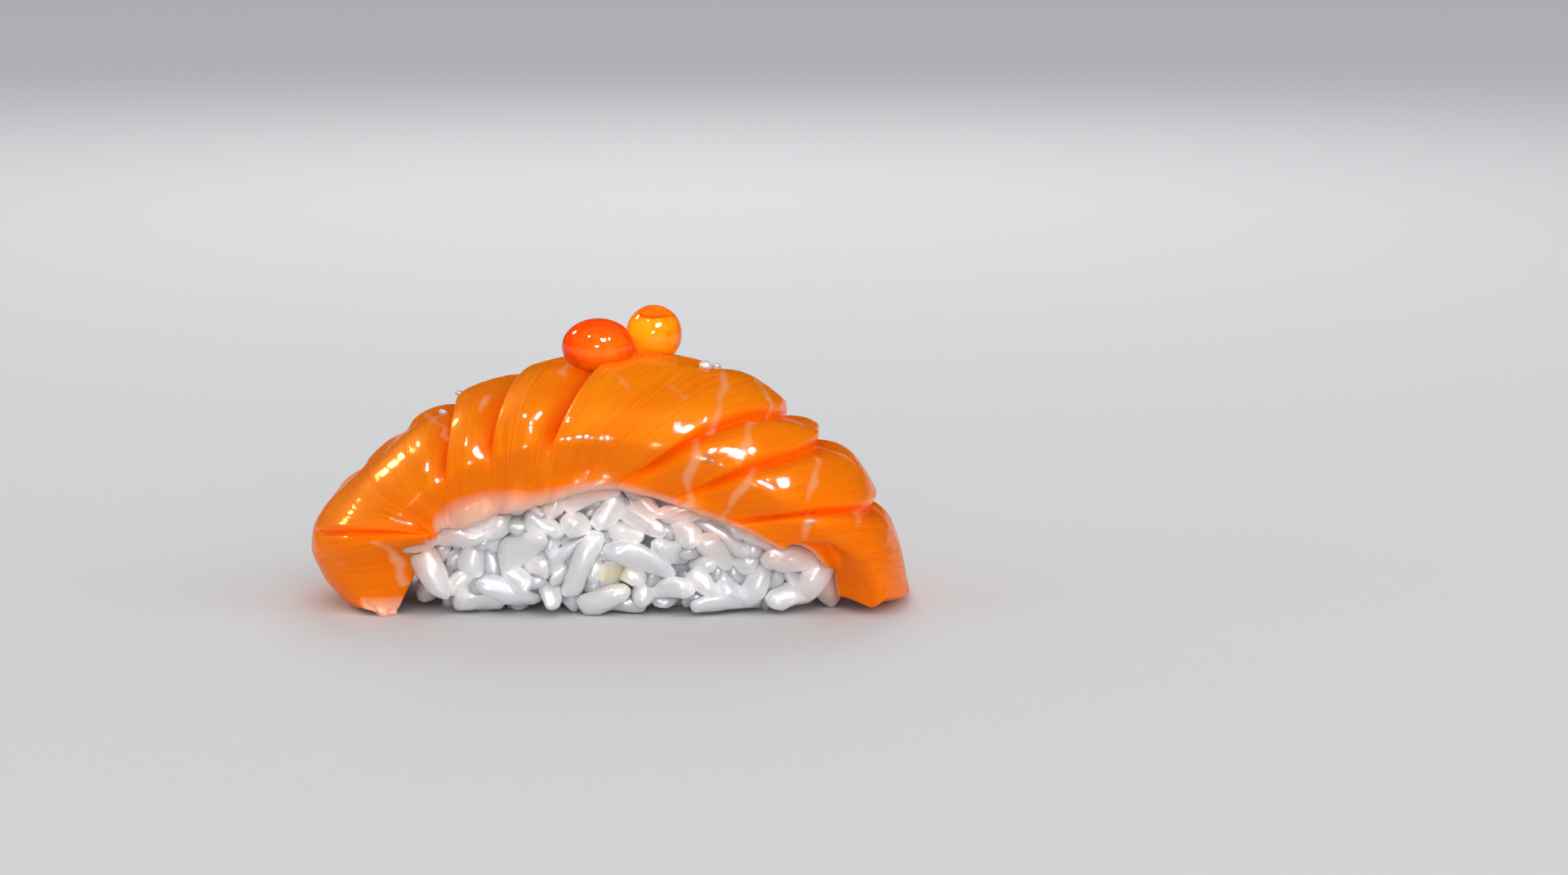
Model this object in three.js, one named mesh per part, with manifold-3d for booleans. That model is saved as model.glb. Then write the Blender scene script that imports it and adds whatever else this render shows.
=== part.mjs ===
// A salmon nigiri: a hand-pressed block of vinegared rice under one scored slice of raw salmon,
// with two salmon roe on top. Millimetres, +Z up. +X runs along the slice, the front faces -Y,
// and the origin is on the table under the middle of the whole piece.
import * as THREE from "three";
import { mergeVertices } from "three/addons/utils/BufferGeometryUtils.js";
import Module from "manifold-3d";

// ---------------------------------------------------------------- sizes of the salmon slice

// The slice is drawn by stations along its length, from the curled left end to the right end.
// The ridge is the line along the middle of its upper face, and the hem is the edge of that face
// at the front. The back hem mirrors the front one. Half is the distance of the hem from the ridge in Y.
const STATIONS = [
  { ridge: [-24.8, 0.3], hem: [-24.2, 1.0], half: 11.6 },
  { ridge: [-30.6, 0.8], hem: [-23.6, 3.6], half: 13.0 },
  { ridge: [-33.8, 4.8], hem: [-23.4, 6.6], half: 13.8 },
  { ridge: [-33.8, 9.0], hem: [-22.9, 9.1], half: 13.9 },
  { ridge: [-29.9, 13.7], hem: [-20.4, 10.2], half: 13.3 },
  { ridge: [-22.9, 19.8], hem: [-17.2, 11.8], half: 12.8 },
  { ridge: [-14.8, 24.4], hem: [-12.0, 14.0], half: 12.8 },
  { ridge: [-5.0, 27.4], hem: [-5.5, 15.0], half: 13.0 },
  { ridge: [5.0, 27.9], hem: [2.0, 14.8], half: 13.2 },
  { ridge: [14.5, 25.9], hem: [9.0, 12.8], half: 13.8 },
  { ridge: [22.6, 20.6], hem: [15.5, 10.6], half: 14.8 },
  { ridge: [28.9, 14.7], hem: [20.6, 8.5], half: 14.8 },
  { ridge: [32.7, 7.5], hem: [23.8, 6.6], half: 14.0 },
  { ridge: [34.6, 1.0], hem: [24.8, 1.6], half: 12.8 },
];
const SLICE_LENGTH = 112; // along the ridge
const SLICE_THICKNESS = { curledEnd: 4.2, middle: 5.6, rightEnd: 4.2, curledHem: 3.0, hem: 1.5 };
const FALL_POWER = 1.1; // above 1, the top stays level further out before it falls to the hem
const REACH_POWER = 0.86; // below 1, the sides are boxier than an ellipse
const HEM_SHARPNESS = 4; // the higher, the closer to the hem the slice stays thick

// Slanting knife cuts across the upper face, as shares of the slice's length at the front hem,
// on the ridge and at the back hem, with a bend above 1 for a line that curves most at the hems.
// Each cut has opened: the flesh on the lip's side stands up steeply, and on the other side it
// slopes down over a width, less at the hems than on the ridge. Across the slice a cut is open
// between two places from -1, the front hem, to 1, the back hem.
const CUTS = [
  { at: [0.285, 0.22, 0.2], bend: 1.3, lip: "right", depth: 2.0, width: [4, 5], open: [-1.6, -0.1] },
  { at: [0.31, 0.268, 0.285], bend: 1.6, lip: "right", depth: 1.1, width: [2, 4], open: [0.05, 0.9] },
  { at: [0.33, 0.326, 0.365], bend: 1.6, lip: "right", depth: 1.1, width: [2, 5], open: [-0.05, 0.9] },
  { at: [0.352, 0.379, 0.43], bend: 1.6, lip: "right", depth: 1.1, width: [2, 5], open: [-0.05, 0.9] },
  { at: [0.375, 0.435, 0.5], bend: 2.2, lip: "right", depth: 1.8, width: [2, 5], open: [-0.85, 0.9] },
  { at: [0.452, 0.497, 0.57], bend: 1.0, lip: "right", depth: 1.7, width: [2, 6], open: [-0.85, 0.9] },
  { at: [0.515, 0.577, 0.64], bend: 1.0, lip: "right", depth: 2.6, width: [2, 7], open: [-0.88, 0.9] },
  { at: [0.562, 0.66, 0.715], bend: 1.2, lip: "left", depth: 1.4, width: [2, 5], open: [-0.05, 0.9] },
  { at: [0.608, 0.748, 0.8], bend: 1.4, lip: "left", depth: 1.9, width: [2, 5], open: [-1.05, 0.9] },
  { at: [0.671, 0.79, 0.865], bend: 2.0, lip: "left", depth: 1.7, width: [1.5, 5], open: [-1.0, 0.9] },
  { at: [0.75, 0.88, 0.93], bend: 2.2, lip: "left", depth: 1.6, width: [1.5, 4], open: [-1.05, 0.9] },
];
const LIP_WIDTH = 0.9; // over which the steep side of a cut rises
const LIP_POWER = 1.4; // above 1, the steep side is hollow towards the bottom of the cut
const SLOPE_POWER = 1.8; // and so is the sloping side
const CROWN = 0.45; // how far the flesh between two cuts swells
const CUT_FADE = 0.25; // share of the half width over which a cut runs out

// Mesh lines between two cuts, closer together at the cuts, and across the slice.
const LINES_BETWEEN_CUTS = [0, 0.1, 0.28, 0.5, 0.72, 0.9];
const ROWS = 20;

// ---------------------------------------------------------------- sizes of the rice

const CLEARANCE = 0.3; // between pieces that touch
const SLICE_CUTTER = { room: 3, pastHem: 1.04 }; // what keeps the rice clear of the slice

// The block is a rounded box, widest at a height of its own. Below the table level it is cut flat.
const RICE = { left: -23.2, right: 26.2, half: 11.6, height: 22.5, widestAt: 9.5, below: 1.2 };
const SQUARENESS = 0.62; // of the block, from 0 for a brick to 1 for an egg
const RICE_CORE = { segments: 24, rings: 12, inset: 1.3 };
const GRAIN = { length: 7.8, width: 3.4, flatness: 0.85, bluntness: 0.7, sides: 5, rings: 4 };
const GRAIN_ROWS = { first: 1.5, spacing: 2.7, count: 6, apart: 5.3, sunk: 0.33 };
const GRAIN_SPREAD = { size: 0.14, along: 0.35, height: 0.9, slant: 2.2 };

// ---------------------------------------------------------------- sizes of the roe

// Each roe is a soft ball, a little flattened by its own weight, and sunk in the flesh.
const ROE = [
  { name: "roe_left", centre: [-1.1, -1.2, 29.5], radii: [4.15, 3.6, 3.15] },
  { name: "roe_right", centre: [5.1, 4.0, 30.1], radii: [3.25, 3.3, 3.35] },
];
const ROE_SEGMENTS = 16;
const ROE_RINGS = 10;

// ---------------------------------------------------------------- materials

const wet = (colour) => new THREE.MeshStandardMaterial({ color: colour, roughness: 0.25, metalness: 0 });
const MATERIALS = { salmon: wet(0xf07a12), rice: wet(0xe9e6e2), roe: wet(0xf25a08) };

// ---------------------------------------------------------------- joining and cutting

const wasm = await Module();
wasm.setup();

const { lerp, clamp } = THREE.MathUtils;

// A closed three.js geometry as a solid that can be joined and cut.
function solidFrom(geometry) {
  const bare = new THREE.BufferGeometry().setAttribute("position", geometry.getAttribute("position"));
  bare.setIndex(geometry.getIndex());
  const merged = mergeVertices(bare, 1e-4);
  const mesh = new wasm.Mesh({
    numProp: 3,
    vertProperties: new Float32Array(merged.getAttribute("position").array),
    triVerts: new Uint32Array(merged.getIndex().array),
  });
  return new wasm.Manifold(mesh);
}

// The solid's outer surface as a geometry. Loose scraps and sealed hollows are left out.
function geometryFrom(solid) {
  const largest = solid.decompose().reduce((a, b) => (b.volume() > a.volume() ? b : a));
  const mesh = largest.getMesh();
  const geometry = new THREE.BufferGeometry();
  geometry.setAttribute("position", new THREE.BufferAttribute(mesh.vertProperties, 3));
  geometry.setIndex(new THREE.BufferAttribute(mesh.triVerts, 1));
  geometry.computeVertexNormals();
  return geometry;
}

// Random numbers from 0 to 1 that come out the same every time.
function seededRandom(seed) {
  let state = seed;
  return () => {
    state = (state * 1664525 + 1013904223) % 4294967296;
    return state / 4294967296;
  };
}

// Everything below the table top, to cut a piece flat where it stands on it.
function belowTable() {
  const [width, depth] = [200, 20];
  return solidFrom(new THREE.BoxGeometry(width, width, depth).translate(0, 0, -depth / 2));
}

// ---------------------------------------------------------------- salmon slice

const ridgeLine = new THREE.CatmullRomCurve3(
  STATIONS.map(({ ridge }) => new THREE.Vector3(ridge[0], 0, ridge[1])),
  false,
  "catmullrom",
);
const hemLine = new THREE.CatmullRomCurve3(
  STATIONS.map(({ hem, half }) => new THREE.Vector3(hem[0], half, hem[1])),
  false,
  "catmullrom",
);

// A point of the smooth upper face: along runs from 0 to 1, and across from -1 at the front hem
// over 0 on the ridge to 1 at the back hem.
function upperFace(along, across) {
  const ridge = ridgeLine.getPoint(clamp(along, 0, 1));
  const hem = hemLine.getPoint(clamp(along, 0, 1));
  const turn = (Math.abs(across) * Math.PI) / 2;
  const fall = (1 - Math.cos(turn)) ** FALL_POWER;
  const reach = Math.sin(turn) ** REACH_POWER;
  return new THREE.Vector3(
    lerp(ridge.x, hem.x, fall),
    Math.sign(across) * hem.y * reach,
    lerp(ridge.z, hem.z, fall),
  );
}

// Which way the upper face points there.
function upperNormal(along, across) {
  const step = 0.004;
  const inside = clamp(along, step, 1 - step);
  const level = clamp(across, 2 * step - 1, 1 - 2 * step);
  const lengthwise = upperFace(inside + step, level).sub(upperFace(inside - step, level));
  const sideways = upperFace(inside, level + step).sub(upperFace(inside, level - step));
  return lengthwise.cross(sideways).normalize();
}

// Where a cut runs, at a place across the slice.
function cutPlace(cut, across) {
  const [front, ridge, back] = cut.at;
  return lerp(ridge, across < 0 ? front : back, Math.abs(across) ** cut.bend);
}

// How far a cut is open at a place across the slice, from 0 to 1.
function cutOpenness(cut, across) {
  const [from, to] = cut.open;
  const rise = THREE.MathUtils.smoothstep(across, from, from + CUT_FADE);
  return rise * (1 - THREE.MathUtils.smoothstep(across, to - CUT_FADE, to));
}

// Height of the scored flesh over the smooth upper face.
function relief(along, across) {
  const places = [0, ...CUTS.map((cut) => cutPlace(cut, across)), 1];
  const open = [0, ...CUTS.map((cut) => cutOpenness(cut, across)), 0];
  const next = clamp(places.findIndex((place) => place > along), 1, places.length - 1);
  const share = clamp((along - places[next - 1]) / (places[next] - places[next - 1]), 0, 1);
  let height = CROWN * lerp(open[next - 1], open[next], share) * Math.sqrt(Math.sin(Math.PI * share));
  CUTS.forEach((cut, i) => {
    const away = (along - places[i + 1]) * SLICE_LENGTH;
    const steep = cut.lip === "right" ? away > 0 : away < 0;
    const slope = lerp(cut.width[1], cut.width[0], Math.abs(across));
    const distance = Math.abs(away) / (steep ? LIP_WIDTH : slope);
    const wall = Math.max(1 - distance, 0) ** (steep ? LIP_POWER : SLOPE_POWER);
    height -= cut.depth * open[i + 1] * wall;
  });
  return height;
}

function thickness(along, across) {
  const { curledEnd, middle, rightEnd, curledHem } = SLICE_THICKNESS;
  const fromLeft = THREE.MathUtils.smoothstep(along, 0.1, 0.4);
  const fromRight = THREE.MathUtils.smoothstep(1 - along, 0, 0.25);
  const body = lerp(curledEnd, middle, fromLeft) + (rightEnd - middle) * (1 - fromRight);
  const hem = lerp(curledHem, SLICE_THICKNESS.hem, THREE.MathUtils.smoothstep(along, 0.2, 0.3));
  return lerp(body, hem, across ** HEM_SHARPNESS);
}

// Places along the slice of the mesh lines, at one place across it.
function meshLines(across) {
  const ends = [0, ...CUTS.map((cut) => cutPlace(cut, across)), 1];
  const lines = [];
  for (let i = 0; i + 1 < ends.length; i++)
    for (const share of LINES_BETWEEN_CUTS) lines.push(lerp(ends[i], ends[i + 1], share));
  return [...lines, 1];
}

// A closed sheet between two faces. Both are functions of the places along and across it. The
// second face has every other mesh line, and the rim joins the two.
function sheet(over, under) {
  const columns = LINES_BETWEEN_CUTS.length * (CUTS.length + 1);
  const positions = [];
  const triangles = [];
  const addFace = (face, step) => {
    const first = positions.length / 3;
    for (let row = 0; row <= ROWS; row += step) {
      const across = (2 * row) / ROWS - 1;
      const lines = meshLines(across);
      for (let column = 0; column <= columns; column += step)
        positions.push(...face(lines[column], across).toArray());
    }
    return (column, row) => first + (row / step) * (columns / step + 1) + column / step;
  };
  const addTriangle = (a, b, c, turned) => triangles.push(...(turned ? [a, c, b] : [a, b, c]));
  const fillFace = (point, step, turned) => {
    for (let row = 0; row < ROWS; row += step)
      for (let column = 0; column < columns; column += step) {
        const opposite = point(column + step, row + step);
        addTriangle(point(column, row), point(column + step, row), opposite, turned);
        addTriangle(point(column, row), opposite, point(column, row + step), turned);
      }
  };
  const joinEdge = (up, down, steps, turned) => {
    for (let i = 0; i < steps; i += 2) {
      addTriangle(up(i + 1), up(i), down(i), turned);
      addTriangle(up(i + 1), down(i), down(i + 2), turned);
      addTriangle(up(i + 2), up(i + 1), down(i + 2), turned);
    }
  };
  const upper = addFace(over, 1);
  const lower = addFace(under, 2);
  fillFace(upper, 1, false);
  fillFace(lower, 2, true);
  joinEdge((i) => upper(i, 0), (i) => lower(i, 0), columns, false);
  joinEdge((i) => upper(i, ROWS), (i) => lower(i, ROWS), columns, true);
  joinEdge((i) => upper(0, i), (i) => lower(0, i), ROWS, true);
  joinEdge((i) => upper(columns, i), (i) => lower(columns, i), ROWS, false);
  const geometry = new THREE.BufferGeometry();
  geometry.setAttribute("position", new THREE.Float32BufferAttribute(positions, 3));
  geometry.setIndex(triangles);
  return geometry;
}

// The upper face moved out along its normal.
const raised = (along, across, height) =>
  upperFace(along, across).addScaledVector(upperNormal(along, across), height);

function sliceSolid() {
  return solidFrom(
    sheet(
      (along, across) => raised(along, across, relief(along, across)),
      (along, across) => raised(along, across, -thickness(along, across)),
    ),
  );
}

// The smooth slice with room over it and a clearance under it and beyond its hems, to cut the
// rice back from it.
function sliceCutter() {
  const { room, pastHem } = SLICE_CUTTER;
  return solidFrom(
    sheet(
      (along, across) => raised(along, across * pastHem, room),
      (along, across) => raised(along, across * pastHem, -thickness(along, across) - CLEARANCE),
    ),
  );
}

// ---------------------------------------------------------------- rice

const signedPower = (value, power) => Math.sign(value) * Math.abs(value) ** power;

// A point of the rice's outline, for a direction round it and a lift from straight down to up.
function ricePoint(round, lift, inset) {
  const length = (RICE.right - RICE.left) / 2 - inset;
  const ring = Math.cos(lift) ** SQUARENESS;
  const up = signedPower(Math.sin(lift), SQUARENESS);
  return new THREE.Vector3(
    (RICE.left + RICE.right) / 2 + length * ring * signedPower(Math.cos(round), SQUARENESS),
    (RICE.half - inset) * ring * signedPower(Math.sin(round), SQUARENESS),
    RICE.widestAt + up * (up > 0 ? RICE.height - RICE.widestAt : RICE.widestAt + RICE.below),
  );
}

// The lift at which the rice's outline reaches a height.
function liftAt(height) {
  const over = height - RICE.widestAt;
  const share = over / (over > 0 ? RICE.height - RICE.widestAt : RICE.widestAt + RICE.below);
  return Math.asin(signedPower(clamp(share, -1, 1), 1 / SQUARENESS));
}

function riceCore() {
  const { segments, rings, inset } = RICE_CORE;
  const core = new THREE.SphereGeometry(1, segments, rings);
  const position = core.getAttribute("position");
  for (let i = 0; i < position.count; i++) {
    const unit = new THREE.Vector3().fromBufferAttribute(position, i).normalize();
    const moved = ricePoint(Math.atan2(-unit.z, unit.x), Math.asin(clamp(unit.y, -1, 1)), inset);
    position.setXYZ(i, moved.x, moved.y, moved.z);
  }
  return solidFrom(core);
}

// One cooked grain: a plump spindle with blunt ends and few sides, lying along its own X.
function grainSolid(length, width, place) {
  const grain = new THREE.SphereGeometry(1, GRAIN.sides, GRAIN.rings).rotateZ(Math.PI / 2);
  const position = grain.getAttribute("position");
  for (let i = 0; i < position.count; i++) position.setX(i, signedPower(position.getX(i), GRAIN.bluntness));
  grain.scale(length / 2, width / 2, (width / 2) * GRAIN.flatness);
  return solidFrom(grain.applyMatrix4(place));
}

// The hem's height over a place along the rice. No grain shows above it.
function hemHeight(x) {
  const line = hemLine.getPoints(60);
  return (line.find((point) => point.x > x) ?? line.at(-1)).z;
}

// Grains laid in rows round the block, each along the surface at its own slant.
function grainSolids() {
  const random = seededRandom(7);
  const grains = [];
  const { first, spacing, count, apart, sunk } = GRAIN_ROWS;
  for (let row = 0; row < count; row++) {
    const outline = riceOutline(liftAt(first + spacing * row), GRAIN.width * sunk);
    const inRow = Math.round(outline.getLength() / apart);
    for (let i = 0; i < inRow; i++) {
      const share = ((i + (row % 2) / 2 + GRAIN_SPREAD.along * random()) / inRow) % 1;
      const centre = outline.getPointAt(share);
      centre.z += GRAIN_SPREAD.height * (random() - 0.5);
      if (centre.z > hemHeight(centre.x) + GRAIN.width) continue;
      const level = outline.getTangentAt(share).setZ(0).normalize();
      const outward = level.clone().cross(new THREE.Vector3(0, 0, 1));
      const lengthwise = level.applyAxisAngle(outward, GRAIN_SPREAD.slant * (random() - 0.5));
      const size = 1 + GRAIN_SPREAD.size * (2 * random() - 1);
      const place = new THREE.Matrix4();
      place.makeBasis(lengthwise, outward.clone().cross(lengthwise), outward).setPosition(centre);
      grains.push(grainSolid(GRAIN.length * size, GRAIN.width * (2 - size), place));
    }
  }
  return grains;
}

// The closed line round the rice at one lift.
function riceOutline(lift, inset) {
  const directions = Array.from({ length: 48 }, (_, i) => (i / 48) * 2 * Math.PI);
  return new THREE.CatmullRomCurve3(directions.map((round) => ricePoint(round, lift, inset)), true);
}

function riceSolid() {
  return wasm.Manifold.union([riceCore(), ...grainSolids()]).subtract(sliceCutter());
}

// ---------------------------------------------------------------- roe

function roeBall({ centre, radii }, clearance) {
  const ball = new THREE.SphereGeometry(1, ROE_SEGMENTS, ROE_RINGS).rotateX(Math.PI / 2);
  return ball.scale(...radii.map((radius) => radius + clearance)).translate(...centre);
}

// ---------------------------------------------------------------- the piece

const nigiri = new THREE.Group();

function addPart(name, geometry, material) {
  const mesh = new THREE.Mesh(geometry, material);
  mesh.name = name;
  nigiri.add(mesh);
}

const nests = wasm.Manifold.union(ROE.map((roe) => solidFrom(roeBall(roe, CLEARANCE))));
addPart("salmon", geometryFrom(sliceSolid().subtract(nests).subtract(belowTable())), MATERIALS.salmon);
addPart("rice", geometryFrom(riceSolid().subtract(belowTable())), MATERIALS.rice);
for (const roe of ROE) addPart(roe.name, geometryFrom(solidFrom(roeBall(roe, 0))), MATERIALS.roe);

const middle = new THREE.Box3().setFromObject(nigiri, true).getCenter(new THREE.Vector3());
nigiri.position.set(-middle.x, -middle.y, 0);

export default nigiri;
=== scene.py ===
# The looks of a salmon nigiri: a scored slice of raw salmon over hand-pressed rice, with two roe.
# Metres, +Z up, +X along the slice and the front towards -Y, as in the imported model.
import math

import bpy
import numpy as np
from mathutils import Matrix, Vector
from mathutils.bvhtree import BVHTree
from mathutils.kdtree import KDTree


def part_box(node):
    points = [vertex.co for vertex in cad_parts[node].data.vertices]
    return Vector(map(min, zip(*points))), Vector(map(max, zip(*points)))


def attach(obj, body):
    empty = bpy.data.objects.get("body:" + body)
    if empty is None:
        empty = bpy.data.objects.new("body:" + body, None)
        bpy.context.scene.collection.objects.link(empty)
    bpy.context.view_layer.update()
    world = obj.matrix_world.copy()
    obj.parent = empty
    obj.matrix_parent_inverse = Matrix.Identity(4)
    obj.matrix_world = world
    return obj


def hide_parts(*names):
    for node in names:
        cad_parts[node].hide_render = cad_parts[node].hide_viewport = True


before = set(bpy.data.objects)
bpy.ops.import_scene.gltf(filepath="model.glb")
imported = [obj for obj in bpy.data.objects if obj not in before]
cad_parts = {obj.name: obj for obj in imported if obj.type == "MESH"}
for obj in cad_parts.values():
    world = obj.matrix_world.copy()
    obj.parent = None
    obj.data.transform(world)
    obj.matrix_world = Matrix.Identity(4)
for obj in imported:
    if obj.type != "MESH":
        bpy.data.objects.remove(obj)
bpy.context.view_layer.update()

# ------------------------------------------------------------------ the salmon slice
# One slice of raw salmon, cut on the slant from the fillet and scored part of the way through
# across its length. Laid over the rice, it bends down at both ends and the cuts open into
# steps with a sharp lip. Its left end curls under, and its hems thin out over the rice.

# Sizes in the slice's own millimetres. Each station is the ridge's x and z, the front hem's x
# and z, and half the depth. They run from the curled left end to the right end.
STATIONS = np.array([
    (-25.6, 0.4, -24.0, 0.4, 12.4),
    (-30.4, 0.5, -23.5, 0.9, 13.0),
    (-33.8, 4.8, -21.5, 5.2, 13.8),
    (-33.8, 9.0, -20.4, 9.1, 13.9),
    (-29.9, 13.7, -19.0, 10.4, 13.3),
    (-22.9, 19.8, -17.2, 11.8, 12.8),
    (-14.8, 24.4, -12.0, 14.0, 12.8),
    (-5.0, 27.4, -5.5, 15.0, 13.0),
    (5.0, 27.9, 2.0, 14.8, 13.2),
    (14.5, 25.9, 9.0, 12.8, 13.8),
    (22.6, 20.6, 15.5, 10.6, 14.8),
    (28.9, 14.7, 20.6, 7.9, 14.8),
    (32.7, 7.5, 25.2, 6.0, 14.2),
    (34.6, 1.0, 26.4, 0.9, 13.4),
])
TUCKS = (0.26, 0.42)  # share of the half depth by which the left and right hems turn back under
SLICE_LENGTH = 112
HALF_WIDTH = 20  # over the curve, from the ridge to a hem
CUT_PITCH = 9.3  # from one cut to the next, on the fibres' map
FALL_POWER = 1.1  # of the fall from the ridge to a hem
REACH_POWER = 0.86  # of the reach out to it

# Each cut: its share of the length at the front hem, on the ridge and at the back hem, its
# bend, the side of its lip, its depth, the width of its slope at the hem and on the ridge, and
# the places across the slice between which it is open.
CUTS = [
    dict(at=(0.285, 0.22, 0.2), bend=1.3, lip=1, depth=0.9, width=(5, 6), open=(-1.08, -0.1)),
    dict(at=(0.31, 0.268, 0.285), bend=1.6, lip=1, depth=1.1, width=(2, 4), open=(0.05, 0.9)),
    dict(at=(0.33, 0.326, 0.365), bend=1.6, lip=1, depth=1.1, width=(2, 5), open=(-0.05, 0.9)),
    dict(at=(0.352, 0.379, 0.43), bend=1.6, lip=1, depth=1.1, width=(2, 5), open=(-0.05, 0.9)),
    dict(at=(0.375, 0.435, 0.5), bend=2.2, lip=1, depth=1.8, width=(2, 5), open=(-0.85, 0.9)),
    dict(at=(0.452, 0.497, 0.57), bend=1.0, lip=1, depth=1.7, width=(2, 6), open=(-0.85, 0.9)),
    dict(at=(0.515, 0.577, 0.64), bend=1.0, lip=1, depth=2.6, width=(2, 7), open=(-0.88, 0.9)),
    dict(at=(0.562, 0.66, 0.715), bend=1.2, lip=-1, depth=1.4, width=(2, 5), open=(-0.05, 0.9)),
    dict(at=(0.608, 0.748, 0.8), bend=1.4, lip=-1, depth=1.9, width=(2, 5), open=(-1.05, 0.9)),
    dict(at=(0.671, 0.79, 0.865), bend=2.0, lip=-1, depth=1.7, width=(1.5, 5), open=(-1.0, 0.9)),
    dict(at=(0.75, 0.88, 0.93), bend=2.2, lip=-1, depth=1.6, width=(1.5, 4), open=(-1.05, 0.9)),
]
LIP_WIDTH = 0.9
CROWN = 0.45  # swell between two cuts
CUT_FADE = 0.25  # where a cut closes, as a share of the half width
OVERHANG = 0.3  # of a lip over its cut
TORN_END = ((-1, -0.95, -0.75, -0.55, -0.3, 0, 0.4, 1), (1.3, 1.2, 0.1, 1.4, 0.7, 0, 0.3, 0.8))
END_PITCH = 0.012  # share of the length to each millimetre at the right end
HOLLOWS = [(0.13, -0.62, 8, 6.5, 1.5)]  # where, how wide each way in millimetres, and how deep
SHARES_PER_CUT = 34  # mesh lines along the slice between two cuts
ROWS_ABOVE = 128  # and across it, on the upper and the lower face
ROWS_BELOW = 44
RIM_ROWS = 5
END_COLUMNS = 5
FLOOR_GAP = 0.02  # between the floor and the lowest point
MM = 0.001


def lerp(a, b, share):
    return a + (b - a) * share


def smoothstep(x, low, high):
    x = np.clip((x - low) / (high - low), 0, 1)
    return x * x * (3 - 2 * x)


def through(points, share):
    """Places on the smooth line through the points, at shares of its count of spans."""
    spans = len(points) - 1
    place = np.clip(share, 0, 1) * spans
    first = np.minimum(place.astype(int), spans - 1)
    w = (place - first)[..., None]
    row = np.vstack([2 * points[0] - points[1], points, 2 * points[-1] - points[-2]])
    before, start, end, after = (row[first + i] for i in range(4))
    leave, arrive = (end - before) / 2, (after - start) / 2
    square = 3 * (end - start) - 2 * leave - arrive
    cube = 2 * (start - end) + leave + arrive
    return start + w * (leave + w * (square + w * cube))


def upper_face(along, across):
    """Points of the smooth upper face, with across from -1 at the front hem to 1 at the back."""
    ridge_x, ridge_z, hem_x, hem_z, half = np.moveaxis(through(STATIONS, along), -1, 0)
    turn = np.abs(across) * math.pi / 2
    fall = (1 - np.cos(turn)) ** FALL_POWER
    reach = np.sin(turn) ** REACH_POWER
    x, z = lerp(ridge_x, hem_x, fall), lerp(ridge_z, hem_z, fall)
    turned = TUCKS[0] * smoothstep(along, -0.12, 0.06) * (1 - smoothstep(along, 0.17, 0.27))
    turned = turned + TUCKS[1] * smoothstep(along, 0.84, 0.96)
    y = half * reach * (1 - turned * smoothstep(np.abs(across), 0.5, 1.05))
    return np.stack([x, np.sign(across) * y, z], -1)


def directions(along, across):
    """Unit vectors lengthwise, sideways and outwards on the upper face."""
    step = 0.004
    a = np.clip(along, step, 1 - step)
    t = np.clip(across, 2 * step - 1, 1 - 2 * step)
    lengthwise = upper_face(a + step, t) - upper_face(a - step, t)
    sideways = upper_face(a, t + step) - upper_face(a, t - step)
    outwards = np.cross(lengthwise, sideways)
    return [v / np.linalg.norm(v, axis=-1, keepdims=True) for v in (lengthwise, sideways, outwards)]


def cut_place(cut, across):
    front, ridge, back = cut["at"]
    return lerp(ridge, np.where(across < 0, front, back), np.abs(across) ** cut["bend"])


def cut_openness(cut, across):
    low, high = cut["open"]
    rise = smoothstep(across, low, low + CUT_FADE)
    return rise * (1 - smoothstep(across, high - CUT_FADE, high))


def ripple(x, y, seed, waves=7):
    """Smooth unevenness between about -1 and 1, about one wave to each unit of x and y."""
    draw = np.random.default_rng(seed)
    total = 0
    for turn, pitch, phase in draw.random((waves, 3)):
        angle, frequency = turn * 2 * math.pi, (0.5 + pitch) * 2 * math.pi
        total = total + np.sin(frequency * (x * math.cos(angle) + y * math.sin(angle)) + phase * 99)
    return total / waves ** 0.5 / 1.4


def scored(along, across):
    """Height of the scored flesh, how deep in a cut it is, and how far its lip hangs over."""
    ends = [np.zeros_like(across)] + [cut_place(c, across) for c in CUTS] + [np.ones_like(across)]
    opened = [0 * across] + [cut_openness(c, across) for c in CUTS] + [0 * across]
    height, depth, overhang = np.zeros_like(along), np.zeros_like(along), np.zeros_like(along)
    for i in range(len(ends) - 1):
        share = (along - ends[i]) / (ends[i + 1] - ends[i])
        inside = (share >= 0) & (share <= 1)
        swell = np.sqrt(np.sin(math.pi * np.clip(share, 0, 1)))
        height += np.where(inside, CROWN * lerp(opened[i], opened[i + 1], share) * swell, 0)
    for cut, place, openness in zip(CUTS, ends[1:], opened[1:]):
        away = (along - place) * SLICE_LENGTH * cut["lip"]
        slope = lerp(cut["width"][1], cut["width"][0], np.abs(across))
        steep = np.clip(1 - away / LIP_WIDTH, 0, 1) ** 1.4
        sloping = np.clip(1 + away / slope, 0, 1) ** 1.8
        wall = np.where(away > 0, steep, sloping) * openness
        height -= cut["depth"] * 0.85 * wall
        depth = np.maximum(depth, wall * min(cut["depth"] / 1.6, 1.3))
        lip = np.where(away > 0, smoothstep(away, 0, LIP_WIDTH * 0.7) * np.exp(-away / 1.6), 0)
        overhang -= OVERHANG * cut["depth"] / 2 * openness * lip * cut["lip"]
    for x, y, across_x, across_y, deep in HOLLOWS:
        near = ((along - x) * SLICE_LENGTH / across_x) ** 2
        near = near + ((across - y) * HALF_WIDTH / across_y) ** 2
        height -= deep * np.exp(-near)
    return height, depth, overhang


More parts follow.
